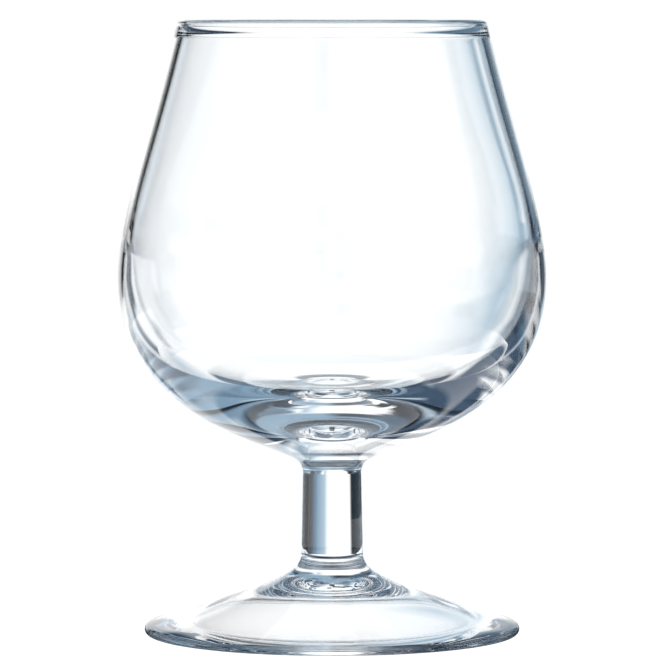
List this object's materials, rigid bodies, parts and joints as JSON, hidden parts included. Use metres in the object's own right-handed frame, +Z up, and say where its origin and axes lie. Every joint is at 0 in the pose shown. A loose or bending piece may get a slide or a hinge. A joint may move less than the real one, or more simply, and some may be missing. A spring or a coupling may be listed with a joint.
{
  "type": "brandy snifter",
  "caption": "Clear stemmed brandy glass: a wide bowl that narrows to a beaded rim, on a short solid stem and a flared foot, for serving and warming a spirit in the hand.",
  "frame": {"origin": "middle of the standing ring under the foot, on the table", "axes": "+Z up the axis of the glass towards the rim; the glass is the same all round, so +X and +Y are any two level directions"},
  "size_m": [0.0808, 0.0808, 0.116],
  "materials": {
    "bowl_glass": "fire-polished, clear",
    "stem_glass": "fire-polished, clear",
    "foot_glass": "pressed and fire-polished, clear"
  },
  "bodies": {
    "root": {"bowl": "bowl_glass", "stem": "stem_glass", "foot": "foot_glass"}
  },
  "joints": []
}
